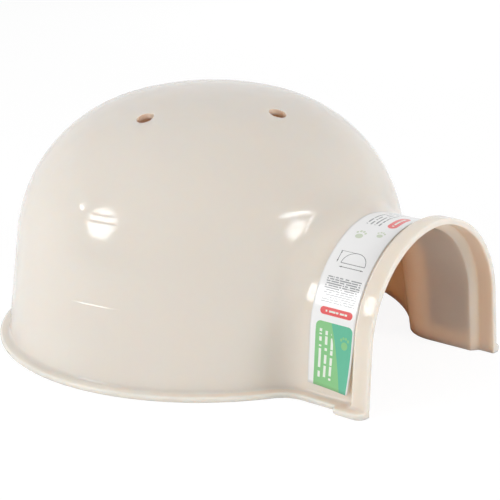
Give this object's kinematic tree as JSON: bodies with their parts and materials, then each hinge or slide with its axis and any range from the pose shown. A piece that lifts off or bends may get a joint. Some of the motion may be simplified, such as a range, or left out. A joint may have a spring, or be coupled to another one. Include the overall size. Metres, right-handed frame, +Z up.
{
  "type": "pet igloo",
  "caption": "Domed small-pet house with an arched tunnel doorway, open underside, base flange, air holes in the crown and a paper label strip over the tunnel.",
  "frame": {"origin": "on the floor, under the middle of the whole outline seen from above; the dome's axis stands 19.5 mm behind it, at +Y", "axes": "+Z up, -Y out of the tunnel's mouth, +X to the right of someone who looks into the mouth"},
  "size_m": [0.285, 0.324, 0.163],
  "materials": {
    "shell": "warm cream injection-moulded polypropylene, glossy outside",
    "label": "printed self-adhesive paper with a thin film over it"
  },
  "bodies": {
    "root": {"shell": "shell", "label": "label"}
  },
  "joints": []
}
